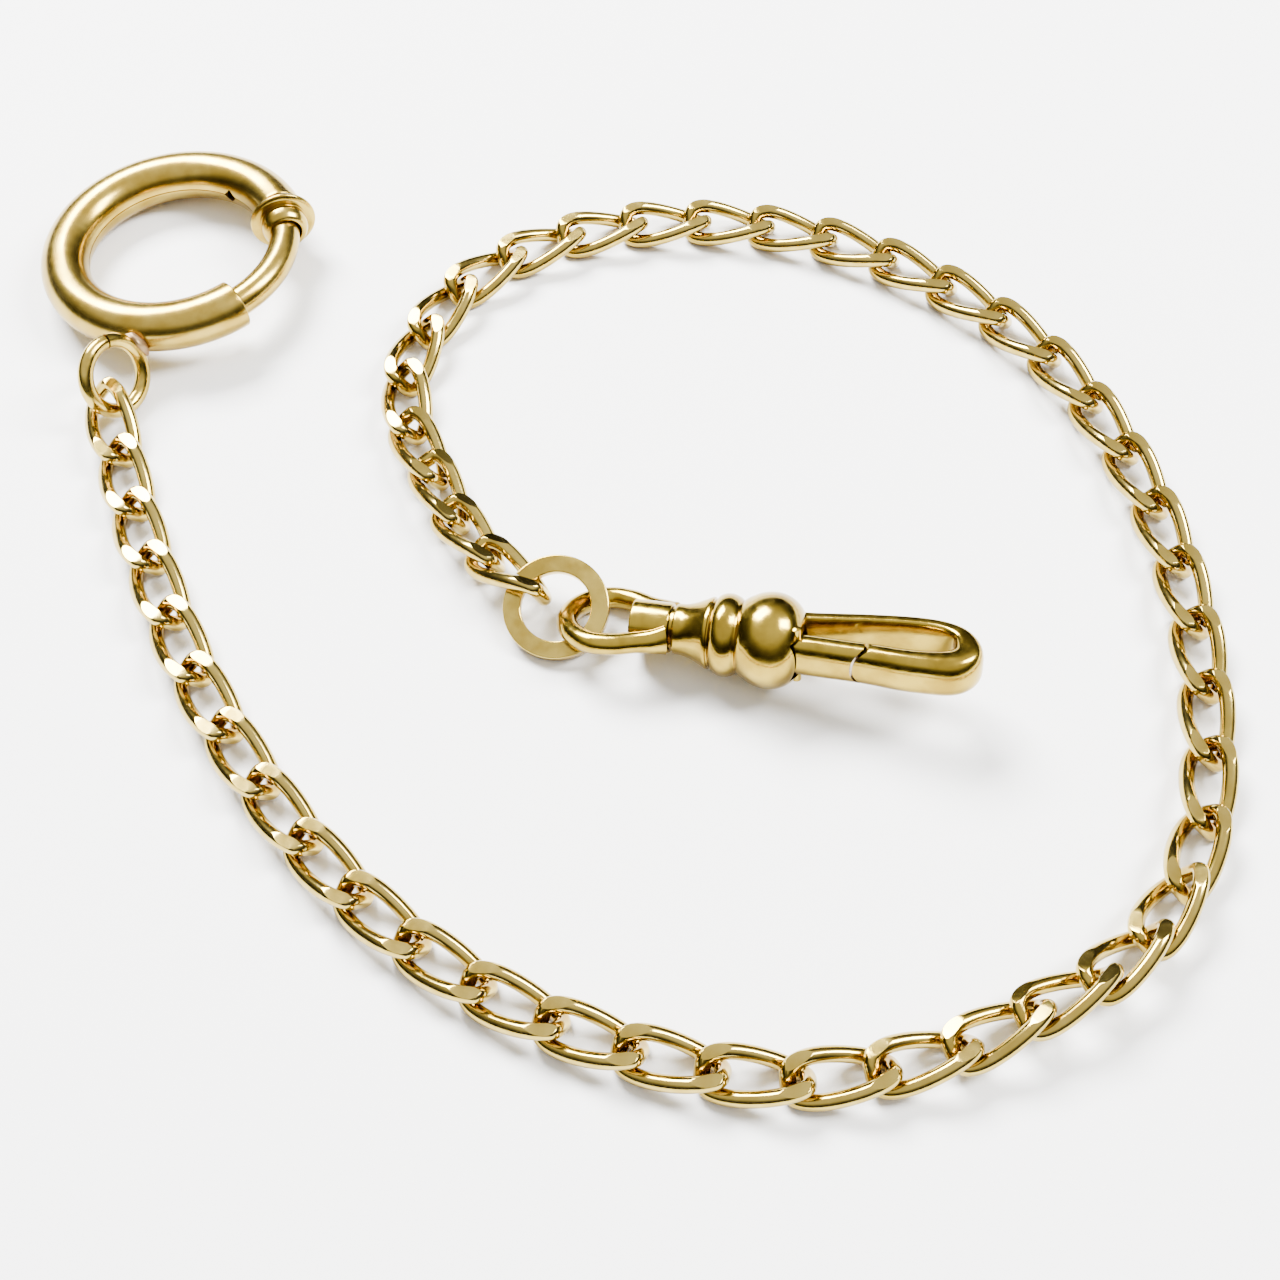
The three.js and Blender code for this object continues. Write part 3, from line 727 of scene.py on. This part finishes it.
def body_profile():
    """Neck, flare, bead and dome, as a smooth outline with crisp grooves."""
    flare = spline([(0.42, 1.86), (1.1, 1.93), (1.9, 2.2), (2.85, 2.66)], 6)
    bead = spline([(3.22, 2.56), (3.45, 2.86), (3.9, 3.05), (4.4, 3.05), (4.85, 2.88),
                   (5.12, 2.68)], 5)
    dome = spline([(5.22, 2.72), (5.7, 3.05), (6.5, 3.42), (7.4, 3.56), (8.3, 3.42), (9.1, 2.95),
                   (9.7, 2.2), (10.0, 1.3), (10.1, 0.0)], 7)
    made = [(0.07, 0.95), (0.07, 1.62), (0.28, 1.64), (0.3, 1.76), (0.34, 1.82)]
    made += [(p[0], p[1]) for p in flare]
    made += [(3.0, 2.66), (3.06, 2.54), (3.14, 2.52)]
    made += [(p[0], p[1]) for p in bead]
    made += [(5.16, 2.66)]
    made += [(p[0], max(0.0, p[1])) for p in dome]
    return [(2.6, 0.0), (2.6, 0.95)] + made


def superellipse(half_width, half_height, power):
    points = []
    for i in range(BAR_SIDES):
        angle = TAU * (i + 0.5) / BAR_SIDES
        cos, sin = math.cos(angle), math.sin(angle)
        points.append((half_width * math.copysign(abs(cos) ** (2 / power), cos),
                       half_height * math.copysign(abs(sin) ** (2 / power), sin)))
    return points


def bar_mesh(stations, steps):
    """A bar that follows the hook's plane. A station is x, y, half width, half height, power."""
    centres = spline([(x, y, 0) for x, y, *_ in stations], steps)
    sizes = spline([size for _, _, *size in stations], steps)
    rings = []
    for i, (centre, size) in enumerate(zip(centres, sizes)):
        before, after = neighbours(centres, i)
        along = (after - before).normalized()
        out = Vector((along.y, -along.x, 0))
        rings.append([centre + out * a + Vector((0, 0, b)) for a, b in superellipse(*size)])
    return grid_mesh(rings, capped=True)


def seat_cylinder(radius):
    mesh = cylinder_mesh(radius, SEAT_DEPTH)
    turn(mesh, Matrix.Rotation(math.radians(90), 4, "X"))
    return turn(mesh, Matrix.Translation((SEAT_CENTRE, SEAT_Y, 0)))


def hook_mesh():
    """The strap that leaves the dome, bends round the nose and comes back to the gate."""
    stations = [
        (8.0, 1.4, 0.48, 1.6, 5.0),
        (10.2, 1.5, 0.46, 1.62, 5.0),
        (14.0, 2.0, 0.46, 1.65, 5.0),
        (17.2, 2.32, 0.48, 1.65, 4.8),
        (19.4, 2.25, 0.52, 1.65, 4.4),
        (20.85, 1.65, 0.72, 1.65, 3.8),
        (21.5, 0.55, 1.08, 1.65, 3.2),
        (21.35, -0.45, 1.22, 1.65, 2.8),
        (20.45, -1.15, 1.25, 1.65, 2.6),
        (18.6, -1.4, 1.1, 1.65, 2.5),
        (17.0, -1.42, 1.07, 1.65, 2.4),
        (15.4, -1.3, 1.04, 1.62, 2.4),
        (13.6, -1.2, 1.0, 1.6, 2.4),
    ]
    hook = bar_mesh(stations, 10)
    behind_seat = box_mesh((SEAT_CENTRE - 4, -4.2, -3), (SEAT_CENTRE, 0.2, 3))
    return cut(hook, cut(behind_seat, seat_cylinder(SEAT_RADIUS)))


def body_mesh():
    dome = lathe(body_profile(), 128)
    slot = box_mesh((GATE_PIVOT[0] - 1.15, -2.32, -1.68), (12.4, 0.22, 1.68))
    return cut(dome, slot)


def gate_mesh():
    """The gate bar, round outside, narrowing where it enters the dome, hollowed at the nose."""
    stations = [
        (8.5, -1.1, 0.2, 1.3, 2.4),
        (8.62, -1.1, 0.5, 1.48, 2.5),
        (8.95, -1.11, 0.83, 1.56, 2.5),
        (9.5, -1.13, 0.98, 1.58, 2.5),
        (10.8, -1.16, 1.02, 1.62, 2.4),
        (13.0, -1.2, 1.03, 1.6, 2.4),
        (16.2, -1.26, 1.04, 1.6, 2.4),
    ]
    gate = cut(bar_mesh(stations, 12), seat_cylinder(SEAT_RADIUS + GATE_GAP))
    past = box_mesh((SEAT_CENTRE - 0.4, -4.2, -4), (SEAT_CENTRE + 3, 2, 4))
    return cut(gate, past)


def pin_mesh():
    rounding = [(PIN_HALF_LENGTH, 0), (2.44, 0.2), (2.38, PIN_RADIUS)]
    pin = lathe([(-x, r) for x, r in rounding] + rounding[::-1], 40)
    turn(pin, Matrix.Rotation(math.radians(90), 4, "Y"))
    return turn(pin, Matrix.Translation((GATE_PIVOT[0], GATE_PIVOT[1], 0)))


def gate_spring_mesh():
    centres = []
    for i in range(121):
        t = i / 120
        coil = TAU * GATE_COIL_TURNS * t
        centres.append(Vector((GATE_PIVOT[0] + GATE_COIL_RADIUS * math.cos(coil),
                               GATE_PIVOT[1] + GATE_COIL_RADIUS * math.sin(coil),
                               GATE_COIL_LENGTH * (t - 0.5))))
    return grid_mesh(curve_sweep(centres, GATE_COIL_WIRE, 10), capped=True)


build("hook_body", body_mesh(), hook_frame, "swivel_hook", SWIVEL_GOLD,
      "swivel_body")
build("hook_strap", hook_mesh(), hook_frame, "swivel_hook", SWIVEL_GOLD)
build("hook_gate", gate_mesh(), hook_frame, "gate", SWIVEL_GOLD, "swivel_gate")
build("hook_pin", pin_mesh(), hook_frame, "swivel_hook", SWIVEL_GOLD, "gate_pin")
build("hook_coil", gate_spring_mesh(), hook_frame, "swivel_hook", STEEL,
      "gate_spring")


# ---- Table, lights and camera ----

def plain(name, colour, roughness):
    material = bpy.data.materials.new(name)
    material.use_nodes = True
    shader = material.node_tree.nodes["Principled BSDF"]
    shader.inputs["Base Color"].default_value = (*colour, 1)
    shader.inputs["Roughness"].default_value = roughness
    return material


def stage_plane(name, size, matrix, material):
    mesh = bmesh.new()
    bmesh.ops.create_grid(mesh, x_segments=1, y_segments=1, size=size)
    data = bpy.data.meshes.new(name)
    mesh.to_mesh(data)
    mesh.free()
    data.materials.append(material)
    thing = bpy.data.objects.new(name, data)
    bpy.context.scene.collection.objects.link(thing)
    thing.matrix_world = matrix


def area_light(name, place_at, size, power):
    """A rectangular lamp that faces the frame's origin."""
    data = bpy.data.lights.new(name, "AREA")
    data.shape = "RECTANGLE"
    data.size, data.size_y = size
    data.energy = power
    lamp = bpy.data.objects.new(name, data)
    bpy.context.scene.collection.objects.link(lamp)
    lamp.location = place_at
    lamp.rotation_euler = (-Vector(place_at)).to_track_quat("-Z", "Y").to_euler()


stage_plane("table", 3, Matrix.Identity(4), plain("white_table", (0.93, 0.93, 0.93), 0.7))


def studio_world():
    """A dim room, dark low down, with a pale ceiling."""
    made = bpy.data.worlds.new("studio")
    made.use_nodes = True
    nodes, links = made.node_tree.nodes, made.node_tree.links
    where = nodes.new("ShaderNodeTexCoord").outputs["Generated"]
    apart = nodes.new("ShaderNodeSeparateXYZ")
    links.new(where, apart.inputs[0])
    height = nodes.new("ShaderNodeValToRGB")
    stops = height.color_ramp.elements
    stops[0].position, stops[0].color = 0.0, (0.02, 0.016, 0.012, 1)
    stops[1].position, stops[1].color = 1.0, (1.0, 0.98, 0.94, 1)
    for position, level in ((0.3, 0.02), (0.5, 0.2), (0.68, 0.8)):
        stop = stops.new(position)
        stop.color = (level, level * 0.97, level * 0.92, 1)
    links.new(apart.outputs["Z"], height.inputs["Fac"])
    background = nodes["Background"]
    links.new(height.outputs["Color"], background.inputs["Color"])
    background.inputs["Strength"].default_value = 1.5
    return made


bpy.context.scene.world = studio_world()

area_light("key", (-0.3, 0.5, 0.6), (0.45, 0.3), 42)
area_light("fill", (0.5, 0.1, 0.55), (0.2, 0.35), 16)

FOCAL_LENGTH_MM = 52.6
AIM = Vector((3.59, -6.25, 0.14)) * MM
DISTANCE = 140.0 * MM
ELEVATION = math.radians(57.4)

camera_data = bpy.data.cameras.new("camera")
camera_data.lens = FOCAL_LENGTH_MM
camera_data.sensor_width = 36
camera_data.clip_start = 0.005
camera = bpy.data.objects.new("camera", camera_data)
bpy.context.scene.collection.objects.link(camera)
back = Vector((0, -math.cos(ELEVATION), math.sin(ELEVATION)))
camera.location = AIM + back * DISTANCE
camera.rotation_euler = (-back).to_track_quat("-Z", "Y").to_euler()
bpy.context.scene.camera = camera

bpy.context.view_layer.update()
